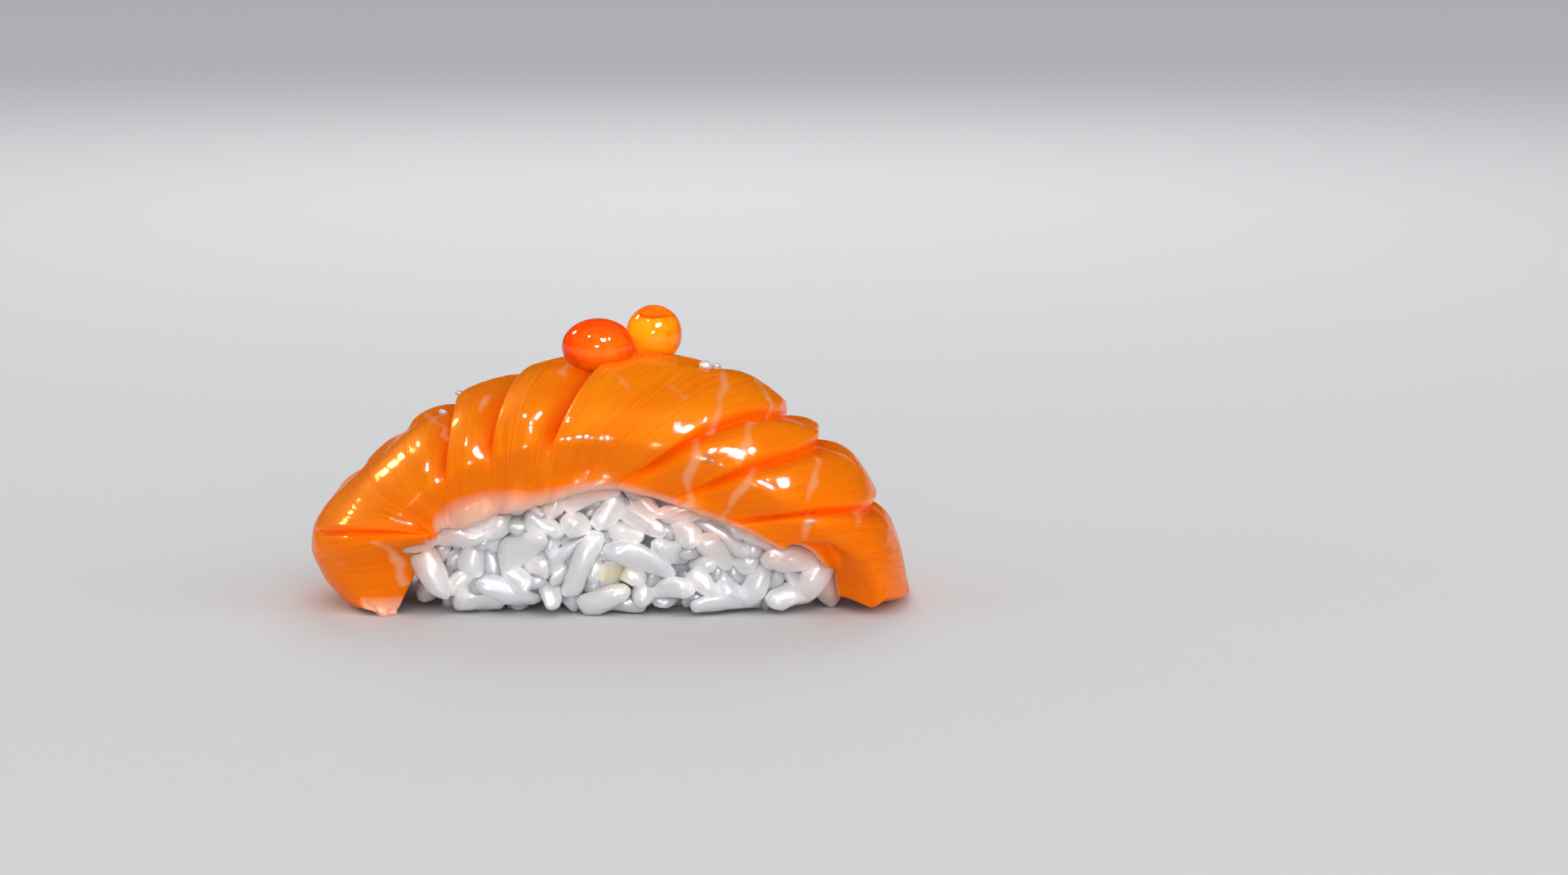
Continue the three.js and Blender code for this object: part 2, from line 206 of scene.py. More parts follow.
def slice_thickness(along, across):
    body = np.interp(along, (0, 0.06, 0.14, 0.4, 0.75, 1), (0.5, 2.0, 4.0, 5.6, 5.6, 4.2))
    hem = np.interp(along, (0, 0.06, 0.14, 0.3), (0.3, 0.6, 1.3, 1.4))
    return lerp(body, hem, np.abs(across) ** lerp(1.5, 4, smoothstep(along, 0.03, 0.15)))


FILM_START = ((0.3, 0.36, 0.4, 0.45, 0.5, 0.62, 0.8), (1.0, 0.86, 0.82, 0.85, 0.9, 0.95, 0.97))
FILM_DROOP = 2.0  # of the hem where the film is widest


def film_share(along, across):
    """How far the hem has thinned to a clear pale film, from 0 to 1, widest left of the middle."""
    start = np.interp(along, *FILM_START)
    return smoothstep(np.abs(across), start - 0.02, start + 0.05 + (1 - start) * 0.5)


def hem_droop(along, across):
    wide = smoothstep(along, 0.33, 0.41) * (1 - smoothstep(along, 0.5, 0.6))
    return FILM_DROOP * wide * smoothstep(np.abs(across), 0.8, 1.0)


def mesh_lines(across):
    """Places along the slice of the mesh lines, close together at the cuts: one row per across."""
    right_end = 1 - END_PITCH * np.interp(across, *TORN_END)
    ends = [np.zeros_like(across)] + [cut_place(c, across) for c in CUTS] + [right_end]
    even = np.arange(SHARES_PER_CUT) / SHARES_PER_CUT
    shares = even - 0.12 * np.sin(2 * math.pi * even)
    lines = [lerp(a[None], b[None], shares[:, None]) for a, b in zip(ends, ends[1:])]
    numbers = np.concatenate([i + shares for i in range(len(ends) - 1)] + [[len(ends) - 1]])
    return np.vstack(lines + [right_end[None]]), numbers


# Lines of fat between two places, each a share of the length and of the half width, and how
# wide they are in millimetres. The cuts break them off.
FAT_LINES = [
    (0.713, 0.05, 0.732, -0.19, 1.0), (0.751, 0.02, 0.762, -0.15, 1.2),
    (0.793, -0.09, 0.834, -0.12, 1.0), (0.863, -0.03, 0.872, -0.28, 1.0),
    (0.869, -0.01, 0.902, -0.12, 0.8), (0.902, -0.12, 0.941, -0.01, 0.7),
    (0.681, 0.0, 0.686, -0.59, 0.9), (0.719, -0.41, 0.726, -0.69, 1.2),
    (0.793, -0.36, 0.808, -0.66, 1.0), (0.86, -0.15, 0.874, -0.54, 0.9),
    (0.674, -0.66, 0.693, -1.0, 1.4), (0.743, -0.67, 0.735, -1.0, 1.3),
    (0.82, -0.7, 0.867, -1.0, 0.9), (0.465, -0.35, 0.47, -0.2, 0.9),
    (0.536, -0.21, 0.54, -0.05, 0.8), (0.58, -0.24, 0.6, -0.4, 0.35),
    (0.636, -0.33, 0.651, -0.45, 0.35), (0.402, 0.12, 0.425, -0.42, 0.6),
    (0.229, -0.77, 0.2, -0.86, 1.1), (0.2, -0.86, 0.13, -0.95, 1.5),
    (0.08, -0.84, 0.03, -0.78, 3.0), (0.7, 0.2, 0.69, 0.9, 1.1), (0.755, 0.25, 0.74, 0.95, 1.2),
    (0.82, 0.2, 0.8, 0.9, 1.0), (0.9, 0.25, 0.87, 0.95, 1.0), (0.61, 0.2, 0.63, 0.7, 0.8),
    (0.53, 0.15, 0.56, 0.85, 0.9), (0.46, 0.2, 0.5, 0.9, 0.8), (0.38, 0.3, 0.4, 0.9, 0.9),
    (0.27, 0.1, 0.26, 0.7, 1.0), (0.17, 0.1, 0.16, 0.8, 1.0), (0.2, -0.2, 0.17, -0.6, 0.5),
]


TIP_DEPTH = 1.6  # from the edge of a pale tip to its middle


def tip_distance(along, across):
    """Millimetres to the pale tips of the curled end, below zero on them."""
    on_tip = (1 - smoothstep(along, 0.06, 0.14)) * smoothstep(np.abs(across), 0.42, 0.66)
    return TIP_DEPTH * (1 - 2 * on_tip)


def fat_distance(along, across):
    """Millimetres to the edge of the nearest line of fat, below zero inside it."""
    nearest = np.full_like(along, 6.0)
    x = along * SLICE_LENGTH + 0.35 * ripple(across * 4, along * 14, 60)
    y = across * HALF_WIDTH + 0.4 * ripple(across * 3, along * 20, 61)
    for x0, y0, x1, y1, width in FAT_LINES:
        start = np.array((x0 * SLICE_LENGTH, y0 * HALF_WIDTH))
        span = np.array((x1 * SLICE_LENGTH, y1 * HALF_WIDTH)) - start
        share = np.clip(((x - start[0]) * span[0] + (y - start[1]) * span[1]) / (span @ span), 0, 1)
        away = np.hypot(x - start[0] - share * span[0], y - start[1] - share * span[1])
        uneven = 0.75 + 0.3 * np.sin(share * 9 + x0 * 90)
        nearest = np.minimum(nearest, away - width * 0.4 * uneven)
    return np.minimum(nearest, tip_distance(along, across))


def slice_mesh():
    """The closed slice: loops round it, one for each mesh line along it, joined into a sleeve."""
    def around(t_values, face):
        lines, numbers = mesh_lines(t_values)
        across = np.broadcast_to(t_values, lines.shape)
        points, depth, fat = face(lines, across)
        points[..., 2] -= hem_droop(lines, across)
        return dict(
            points=points,
            share=lines,
            along=np.broadcast_to(numbers[:, None] * CUT_PITCH, lines.shape),
            across=across * HALF_WIDTH,
            valley=depth,
            hem=film_share(lines, across),
            fat=fat,
        )

    def upper(along, across):
        height, depth, overhang = scored(along, across)
        lengthwise, _, outwards = directions(along, across)
        x, y = along * SLICE_LENGTH, across * HALF_WIDTH
        height = height + 0.12 * ripple(x / 9, y / 7, 1) + 0.02 * ripple(x / 1.3, y / 8, 2)
        points = upper_face(along, across) + outwards * height[..., None]
        points = points + lengthwise * overhang[..., None]
        return points, depth, fat_distance(along, across)

    def lower(along, across):
        _, _, outwards = directions(along, across)
        points = upper_face(along, across) - outwards * slice_thickness(along, across)[..., None]
        return points, np.zeros_like(along), tip_distance(along, across)

    above = around(np.linspace(-1, 1, ROWS_ABOVE + 1), upper)
    below = around(np.linspace(1, -1, ROWS_BELOW + 1), lower)

    def rim(start, end, side):
        """Rows that round the hem from the last row of one face to the first row of the other."""
        angles = np.linspace(0, math.pi, RIM_ROWS + 2)[1:-1]
        swing = (1 - np.cos(angles)) / 2
        lines, _ = mesh_lines(np.array([side * 1.0]))
        _, sideways, _ = directions(lines, np.full_like(lines, side * 1.0))
        rows = {k: lerp(a[:, None], end[k][:, None], swing) for k, a in start.items() if k != "points"}
        a, b = start["points"][:, None], end["points"][:, None]
        bulge = sideways * side * np.linalg.norm(b - a, axis=-1, keepdims=True) / 4
        rows["points"] = lerp(a, b, swing[:, None]) + bulge * np.sin(angles)[:, None]
        return rows

    def row(face, at):
        return {k: v[:, at] for k, v in face.items()}

    back_rim = rim(row(above, -1), row(below, 0), 1)
    front_rim = rim(row(below, -1), row(above, 0), -1)
    loop = {k: np.concatenate([above[k], back_rim[k], below[k], front_rim[k]], 1) for k in above}

    # Both ends are rounded: each loop there is a smaller one, drawn in towards the middle of
    # the slice's thickness and pushed out lengthwise. A point's partner is the one across from it.
    to_below = np.round(np.arange(ROWS_ABOVE, -1, -1) / ROWS_ABOVE * ROWS_BELOW).astype(int)
    to_above = np.round(np.arange(ROWS_BELOW, -1, -1) / ROWS_BELOW * ROWS_ABOVE).astype(int)
    in_rim = np.arange(RIM_ROWS)[::-1]
    first_below = ROWS_ABOVE + 1 + RIM_ROWS
    partner = np.concatenate([first_below + to_below, ROWS_ABOVE + 1 + in_rim,
                              to_above, first_below + ROWS_BELOW + 1 + in_rim])

    def capped(end, outwards, bulge):
        rim_points = loop["points"][end]
        middle = (rim_points + rim_points[partner]) / 2
        rings = []
        for angle in np.linspace(0, math.pi / 2, END_COLUMNS + 1)[1:]:
            drawn = lerp(middle, rim_points, math.cos(angle) * 0.94 + 0.06)
            rings.append(drawn + outwards * math.sin(angle) * bulge)
        return rings

    def way_out(end, inner):
        way = loop["points"][end] - loop["points"][inner]
        way = way + way[partner]
        return way / np.maximum(np.linalg.norm(way, axis=-1, keepdims=True), 1e-9)

    left = capped(0, way_out(0, 6), 0.15)[::-1]
    right = capped(-1, way_out(-1, -7), 0.45)
    points = np.concatenate([np.array(left), loop["points"], np.array(right)])
    spread_out = [END_COLUMNS + 1] + [1] * (len(loop["share"]) - 2) + [END_COLUMNS + 1]
    extra = {k: np.repeat(v, spread_out, 0) for k, v in loop.items() if k != "points"}
    return points, extra


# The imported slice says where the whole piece's origin is in these millimetres.
roe_low, roe_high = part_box("roe_left")
ROE_LEFT = dict(centre=(-1.1, -1.2, 29.5), radii=(4.15, 3.6, 3.15))
origin_shift = np.array((roe_low + roe_high) / 2) / MM - np.array(ROE_LEFT["centre"])


def in_place(points):
    """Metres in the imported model's frame, from the slice's own millimetres."""
    return (points + origin_shift) * MM


def put_in_scene(name, data):
    placed = bpy.data.objects.new(name, data)
    bpy.context.scene.collection.objects.link(placed)
    return placed


def new_piece(name, vertices, faces):
    mesh = bpy.data.meshes.new(name)
    mesh.from_pydata([tuple(v) for v in vertices], [], faces)
    mesh.shade_smooth()
    return put_in_scene(name, mesh)


def keep_numbers(piece, name, values):
    """Stores one number for each vertex, for the material to read."""
    attribute = piece.data.attributes.new(name, "FLOAT", "POINT")
    attribute.data.foreach_set("value", np.asarray(values, np.float32).ravel())


loops, facts = slice_mesh()
loops[..., 2] = np.maximum(loops[..., 2], FLOOR_GAP)
columns, rows = loops.shape[:2]
index = np.arange(columns * rows).reshape(columns, rows)
a, b = index[:-1], index[1:]
quads = np.stack([a, b, np.roll(b, -1, 1), np.roll(a, -1, 1)], -1).reshape(-1, 4)
ends = [index[0].tolist(), index[-1, ::-1].tolist()]
salmon = new_piece("salmon_slice", in_place(loops.reshape(-1, 3)), quads.tolist() + ends)
for name in ("valley", "hem", "fat"):
    keep_numbers(salmon, name, facts[name])
flesh_map = salmon.data.uv_layers.new(name="flesh")
corner_vertices = np.empty(len(salmon.data.loops), np.int32)
salmon.data.loops.foreach_get("vertex_index", corner_vertices)
both = np.stack([facts["along"].ravel(), facts["across"].ravel()], -1)[corner_vertices]
flesh_map.data.foreach_set("uv", both.astype(np.float32).ravel())


def feed(node, inputs):
    """Sets a node's inputs to values or joins them to other sockets."""
    for name, value in inputs.items():
        if isinstance(value, bpy.types.NodeSocket):
            node.id_data.links.new(value, node.inputs[name])
        else:
            node.inputs[name].default_value = value


def wire(tree, kind, settings=None, inputs=None):
    """A new node with its settings and inputs."""
    made = tree.nodes.new(kind)
    for name, value in (settings or {}).items():
        setattr(made, name, value)
    feed(made, inputs or {})
    return made


def blend_colours(tree, share, a, b):
    """The colour a at a share of 0 and b at 1."""
    a, b = (c if isinstance(c, bpy.types.NodeSocket) else (*c, 1) for c in (a, b))
    return wire(tree, "ShaderNodeMix", {"data_type": "RGBA"}, {0: share, 6: a, 7: b}).outputs[2]


def sum_up(tree, operation, *values):
    """One number made from others."""
    return wire(tree, "ShaderNodeMath", {"operation": operation}, dict(enumerate(values))).outputs[0]


def add(tree, a, b):
    return sum_up(tree, "ADD", a, b)


def times(tree, a, b):
    return sum_up(tree, "MULTIPLY", a, b)


def spread(tree, value, low, high, to_low=0.0, to_high=1.0, smooth=False):
    """The value's stretch from low to high, spread over another stretch and held at its ends."""
    kind = "SMOOTHSTEP" if smooth else "LINEAR"
    numbers = {"Value": value, "From Min": low, "From Max": high, "To Min": to_low, "To Max": to_high}
    return wire(tree, "ShaderNodeMapRange", {"interpolation_type": kind}, numbers).outputs[0]


def clouds(tree, where, scale, detail=3.0, roughness=0.5):
    """Cloudy noise from 0 to 1."""
    numbers = {"Vector": where, "Scale": scale, "Detail": detail, "Roughness": roughness}
    return wire(tree, "ShaderNodeTexNoise", None, numbers).outputs[0]


def stretched(tree, where, scale):
    return wire(tree, "ShaderNodeMapping", None, {"Vector": where, "Scale": scale}).outputs[0]


def dented(tree, height, strength, distance):
    """The way the surface faces when it is dented by a height."""
    numbers = {"Height": height, "Strength": strength, "Distance": distance}
    return wire(tree, "ShaderNodeBump", None, numbers).outputs[0]


def distance_from(tree, where, place):
    """Metres from a place in the slice's own millimetres."""
    inputs = {0: where, 1: tuple(in_place(np.array(place)))}
    return wire(tree, "ShaderNodeVectorMath", {"operation": "DISTANCE"}, inputs).outputs["Value"]


def read_number(tree, name):
    """The number of that name that a piece keeps for each vertex."""
    return wire(tree, "ShaderNodeAttribute", {"attribute_name": name}).outputs["Fac"]


def new_material(name):
    material = bpy.data.materials.new(name)
    material.use_nodes = True
    tree = material.node_tree
    return material, tree, tree.nodes["Principled BSDF"]


WATER_IOR = 1.36  # of the water with fat or starch in it that wets each piece
FLESH = (0.94, 0.15, 0.0)
FLESH_PALE = (1.0, 0.22, 0.0)
# painted light: a golden glow for the high parts of the flesh
FLESH_PAINTED_GLOW = (1.0, 0.3, 0.0)
# painted shade for the flesh down in the cuts
FLESH_PAINTED_CUT_SHADE = (0.78, 0.11, 0.0)
FLESH_SHEEN = (1.0, 0.4, 0.04)
FAT = (0.92, 0.36, 0.16)
FAT_DEEP = (0.93, 0.58, 0.45)
HEM = (0.78, 0.5, 0.41)


def salmon_flesh():
    """Wet orange flesh with fine pale fibres along the cuts and soft pinkish lines of fat, with a painted
    golden glow on its high parts and painted shade down in its cuts.
    """
    material, tree, surface = new_material("salmon_flesh")
    own_map = wire(tree, "ShaderNodeUVMap", {"uv_map": "flesh"}).outputs[0]
    valley, hem, fat = (read_number(tree, name) for name in ("valley", "hem", "fat"))
    fibres = clouds(tree, stretched(tree, own_map, (2.6, 0.11, 1)), 1.0, 4.0, 0.62)
    broad = clouds(tree, stretched(tree, own_map, (0.16, 0.05, 1)), 1.0, 2.0)
    tone = spread(tree, add(tree, fibres, times(tree, broad, 0.5)), 0.52, 1.05)
    colour = blend_colours(tree, tone, FLESH, FLESH_PALE)
    where = wire(tree, "ShaderNodeTexCoord").outputs["Object"]
    height = wire(tree, "ShaderNodeSeparateXYZ", None, {0: where}).outputs[2]
    # Painted light: the high parts of the flesh are painted golden, as if lit through from behind.
    painted_glow = spread(tree, height, 0.013, 0.027, 0, 0.75)
    colour = blend_colours(tree, times(tree, painted_glow, tone), colour, FLESH_PAINTED_GLOW)
    # Painted shade: the flesh is painted darker the deeper it lies in a cut.
    colour = blend_colours(tree, spread(tree, valley, 0.1, 1.0, 0, 0.7), colour, FLESH_PAINTED_CUT_SHADE)
    fat_colour = blend_colours(tree, spread(tree, fat, -0.3, -1.4), FAT, FAT_DEEP)
    soft_edge = spread(tree, fat, -0.3, 0.35, 0.8, 0.0, smooth=True)
    colour = blend_colours(tree, soft_edge, colour, fat_colour)
    colour = blend_colours(tree, spread(tree, hem, 0.3, 1.0, 0, 0.9), colour, HEM)

    grainy = clouds(tree, stretched(tree, own_map, (2.2, 0.9, 1)), 1.0, 3.0, 0.6)
    threads = add(tree, fibres, times(tree, grainy, 0.4))
    pools = add(tree, clouds(tree, where, 700.0, 2.0), times(tree, threads, 0.4))
    wet = add(tree, pools, times(tree, clouds(tree, where, 1800.0, 1.0), 0.5))
    surface.subsurface_method = "BURLEY"
    feed(surface, {
        "Base Color": colour,
        "Roughness": spread(tree, grainy, 0.3, 0.7, 0.38, 0.55),
        "Normal": dented(tree, threads, 0.6, 0.1 * MM),
        "Subsurface Weight": 0.8,
        "Subsurface Radius": (1.0, 0.35, 0.1),
        "Subsurface Scale": 2.6 * MM,
        "Specular IOR Level": 0.12,
        "Specular Tint": (*FLESH_SHEEN, 1),
        "Coat Weight": spread(tree, clouds(tree, where, 2400.0, 2.0, 0.6), 0.42, 0.5, 0, 0.5),
        "Coat IOR": WATER_IOR,
        "Coat Roughness": 0.03,
        "Coat Normal": dented(tree, wet, 0.3, 0.1 * MM),
    })
    return material


salmon.data.materials.append(salmon_flesh())
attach(salmon, "root")
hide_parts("salmon")

# ------------------------------------------------------------------ the rice
# Cooked short-grain rice, seasoned with vinegar and pressed by hand into a soft block under the
# slice. The wet grains are plump, slightly bent and stuck together, with small gaps between.

RICE_MIDDLE = np.array((1.5, 0, 9.5))  # of the block, at the height where it is widest
RICE_REACH = dict(along=24.7, across=11.6, up=13.0, down=12.5)
ROUNDING = 2 / 0.62  # power of the block's rounded box

# Grains that show at the front: x, z, slant in degrees, length, width, and how far each is set
# back from the face of the block.
FRONT_GRAINS = [
    (-21.0, 8.7, 5, 5.0, 2.3, -4.6), (-19.3, 5.3, -54, 8.0, 2.5, -2.6), (-16.8, 9.2, 3, 6.6, 2.7, -0.8),
    (-17.3, 7.0, 80, 5.0, 2.6, 1.6), (-15.0, 6.6, 70, 4.8, 2.4, 0.6), (-15.7, 4.2, 60, 4.8, 2.4, 0.3),
    (-14.2, 1.9, 5, 5.6, 2.3, 0.0), (-10.8, 2.8, -24, 7.8, 2.4, 0.0), (-10.7, 4.9, -40, 6.2, 2.2, 0.4),
    (-9.8, 8.0, 26, 6.7, 2.7, 0.0), (-7.3, 10.7, -24, 5.2, 2.5, 0.2), (-6.0, 12.7, 50, 5.0, 2.5, 0.4),
    (-1.6, 13.8, 5, 6.6, 2.8, 0.1), (-3.2, 9.9, -72, 5.6, 2.5, 0.4), (-2.5, 5.9, 73, 7.8, 2.6, -0.2),
    (-4.9, 7.3, -68, 5.4, 2.3, 1.4), (-8.2, 6.2, -45, 4.2, 2.2, 0.5), (-6.3, 3.1, -60, 5.8, 2.6, 0.0),
    (-6.6, 6.8, -30, 5.4, 2.5, 1.6), (-11.5, 10.2, 20, 6.0, 2.5, 0.9), (-13.2, 11.6, 18, 6.4, 2.4, 1.1),
    (-9.0, 13.2, 12, 6.6, 2.4, 1.2), (4.3, 10.9, -22, 7.0, 2.4, -0.2), (7.4, 7.8, -22, 5.6, 2.7, 0.0),
    (3.7, 6.6, -17, 8.4, 2.5, -0.2), (1.9, 9.2, 0, 5.8, 2.3, 0.7), (0.0, 11.5, 60, 5.0, 2.4, 0.9),
    (2.3, 4.8, -8, 5.4, 2.3, 0.9), (-0.2, 2.1, 35, 5.8, 2.3, -0.2), (3.9, 2.2, 20, 5.0, 2.6, 0.4),
    (7.4, 3.1, 8, 5.2, 2.9, -0.1), (9.1, 9.8, -58, 5.8, 2.5, 0.1), (12.4, 7.3, -48, 7.0, 2.8, -0.2),
    (12.1, 10.7, -5, 5.8, 2.4, 0.9), (14.7, 8.8, 50, 5.0, 2.4, 1.4), (16.0, 6.7, 40, 4.8, 2.3, 0.7),
    (16.8, 4.1, 42, 6.2, 2.7, 0.0), (19.8, 4.9, -20, 5.0, 2.3, 0.4), (20.8, 7.0, -14, 7.4, 2.7, -1.6),
    (23.6, 4.9, 62, 5.6, 2.8, -2.8), (25.0, 3.0, -60, 4.6, 2.4, -2.6), (20.8, 2.1, -2, 7.2, 2.9, -1.6),
    (13.4, 1.4, -2, 8.4, 2.3, 0.0), (10.9, 3.6, -30, 5.0, 2.7, 0.0), (13.5, 3.7, -72, 5.2, 2.5, 0.5),
    (10.6, 6.0, -20, 5.4, 2.4, 1.1), (4.8, 12.6, -18, 6.0, 2.4, 0.4), (9.0, 11.9, -25, 6.0, 2.4, 0.3),
    (13.4, 10.7, -20, 5.6, 2.4, 0.3), (17.6, 9.0, -30, 5.6, 2.4, 0.2), (22.4, 8.5, -30, 5.2, 2.4, -0.4),
    (-19.8, 3.0, 40, 5.0, 2.4, 0.6),
]
FRONT_PLUMPNESS = 1.16
INNER_GRAINS = 400
INNER_ROOM = ((-23.5, -11.6, 0.8), (26.2, 11.6, 22.0))
GRAIN_LENGTH = (5.6, 7.4)
GRAIN_WIDTH = (2.4, 3.0)
GRAIN_STICK = 0.74  # grains this share of their width apart stick together
SETTLING_ROUNDS = 110


def block_reach(away):
    """How far the block reaches each way from its middle, on the side where each point is."""
    reach = np.tile((RICE_REACH["along"], RICE_REACH["across"], RICE_REACH["up"]), (len(away), 1))
    reach[away[:, 2] <= 0, 2] = RICE_REACH["down"]
    return reach


def outside_block(points):
    """How far points are outside the rounded block, and which way out is."""
    away = points - RICE_MIDDLE
    reach = block_reach(away)
    share = np.abs(away) / reach
    total = (share ** ROUNDING).sum(1)
    slope = ROUNDING * share ** (ROUNDING - 1) * np.sign(away) / reach
    steepness = np.linalg.norm(slope, axis=1) + 1e-6
    return (total - 1) / steepness, slope / steepness[:, None]


# The slice's lower face, as points that carry their way out of the slice. The grains stay clear
# of it, apart from the hems that turn back under the block.
under_grid = np.meshgrid(np.linspace(0.01, 0.99, 150), np.linspace(-1, 1, 41), indexing="ij")
under_lines, under_rows = (grid.ravel() for grid in under_grid)
_, _, under_out = directions(under_lines, under_rows)
under_face = upper_face(under_lines, under_rows)
under_face -= under_out * slice_thickness(under_lines, under_rows)[:, None]
under = KDTree(len(under_face))
for i, place in enumerate(under_face):
    under.insert(place, i)
under.balance()
turned_back = (np.abs(under_rows) > 0.75) & ((under_lines < 0.25) | (under_lines > 0.86))


def into_slice(points):
    """How far points are above the slice's lower face, and the way up through it."""
    depth, way = np.full(len(points), -9.0), np.zeros((len(points), 3))
    for i, point in enumerate(points):
        place, nearest, gap = under.find(point)
        beside_hem = abs(under_rows[nearest]) >= 0.97 and point[2] <= place[2] - 0.3
        if gap < 5 and not turned_back[nearest] and not beside_hem:
            way[i] = under_out[nearest]
            depth[i] = (point - np.array(place)) @ way[i]
    return depth, way


draw = np.random.default_rng(11)
front_rows = np.array(FRONT_GRAINS, float)
slants = np.radians(front_rows[:, 2])
face_points = np.stack([front_rows[:, 0], 0 * slants, front_rows[:, 1]], -1)
used = np.abs(face_points - RICE_MIDDLE) / block_reach(face_points - RICE_MIDDLE)
room = np.clip(1 - used[:, 0] ** ROUNDING - used[:, 2] ** ROUNDING, 0.05, 1)
face_points[:, 1] = front_rows[:, 4] / 2 + front_rows[:, 5] - RICE_REACH["across"] * room ** (1 / ROUNDING)
front_count = len(front_rows)

inner = []
while len(inner) < INNER_GRAINS:
    point = draw.uniform(*INNER_ROOM)
    outside, _ = outside_block(point[None])
    depth, _ = into_slice(point[None])
    if -6.5 < outside[0] < -0.8 and depth[0] < -0.8:
        inner.append(point)
centres = np.vstack([face_points, inner])
lying = np.vstack([np.stack([np.cos(slants), 0.12 * np.sin(7 * slants), np.sin(slants)], -1),
                   draw.normal(size=(INNER_GRAINS, 3)) * (1, 0.9, 0.7)])
lying /= np.linalg.norm(lying, axis=1, keepdims=True)
lengths = np.concatenate([front_rows[:, 3], draw.uniform(*GRAIN_LENGTH, INNER_GRAINS)])
widths = np.concatenate([front_rows[:, 4] * FRONT_PLUMPNESS, draw.uniform(*GRAIN_WIDTH, INNER_GRAINS)])

# Each grain is a row of balls that push one another apart, stay in the block and keep off the
# slice. Front grains keep their place in the block's face and slide mostly in or out of it.
is_front = np.arange(len(centres)) < front_count
freedom = np.where(is_front[:, None], (0.12, 0.7, 0.12), 1.0)
ALONG_GRAIN = np.array((-1, -0.36, 0.36, 1))
BALL_SIZE = np.array((0.86, 1, 1, 0.86))
NEAR = 4.2  # balls further apart aren't tried against each other
SPRING = 0.32
MOST_PUSH = 0.9
PULL_HOME = 0.08  # on a front grain
owner = np.repeat(np.arange(len(centres)), len(ALONG_GRAIN))
kept_in = np.where(is_front, 0.0, 1.0)[owner]
sizes = (widths[:, None] / 2 * BALL_SIZE).ravel()
arms = (lengths / 2 - widths / 2 * BALL_SIZE[0])[:, None] * ALONG_GRAIN
for settling in range(SETTLING_ROUNDS):
    balls = (centres[:, None] + lying[:, None] * arms[..., None]).reshape(-1, 3)
    if settling % 8 == 0:
        apart = np.linalg.norm(balls[:, None] - balls[None], axis=-1)
        near, other = np.nonzero((apart < NEAR) & (owner[:, None] != owner[None]))
    gap = balls[near] - balls[other]
    apart = np.linalg.norm(gap, axis=1) + 1e-6
    overlap = np.maximum((sizes[near] + sizes[other]) * GRAIN_STICK - apart, 0) / apart
    gap *= SPRING * overlap[:, None]
    push = np.stack([np.bincount(near, gap[:, k], len(balls)) for k in range(3)], -1)
    outside, way_out = outside_block(balls)
    push -= way_out * (np.maximum(outside + sizes * 0.95, 0) * kept_in)[:, None]
    push[:, 2] += np.maximum(sizes * 0.92 - balls[:, 2], 0)
    depth, way_up = into_slice(balls)
    push -= way_up * (np.clip(depth + sizes + 0.15, 0, 1.5) * (0.15 + 0.65 * kept_in))[:, None]
    push = np.clip(push, -MOST_PUSH, MOST_PUSH).reshape(len(centres), -1, 3)
    centres += push.mean(1) * freedom * 1.2
    centres[is_front] = lerp(centres[is_front], face_points, PULL_HOME)
    twist = (push * ALONG_GRAIN[None, :, None]).sum(1) / (arms[:, -1:] * 2.2)
    lying += twist * freedom
    lying /= np.linalg.norm(lying, axis=1, keepdims=True)


def lay_points(name, centre, way, length, width):
    """A piece of loose points, one for each grain, that carry its turn and its size."""
    spin = np.random.default_rng(5)
    cloud = bpy.data.meshes.new(name)
    cloud.from_pydata([tuple(p) for p in in_place(centre)], [], [])
    turns = []
    for line in way:
        roll = Matrix.Rotation(spin.uniform(-0.6, 0.6), 3, Vector(line))
        turns.append((roll @ Vector(line).to_track_quat("X", "Z").to_matrix()).to_euler())
    size = np.stack([length, width, width * spin.uniform(0.82, 0.98, len(width))], -1) / 2 * MM
    for key, values in (("turn", turns), ("size", size)):
        attribute = cloud.attributes.new(key, "FLOAT_VECTOR", "POINT")
        attribute.data.foreach_set("vector", np.array(values, np.float32).ravel())
    return put_in_scene(name, cloud)


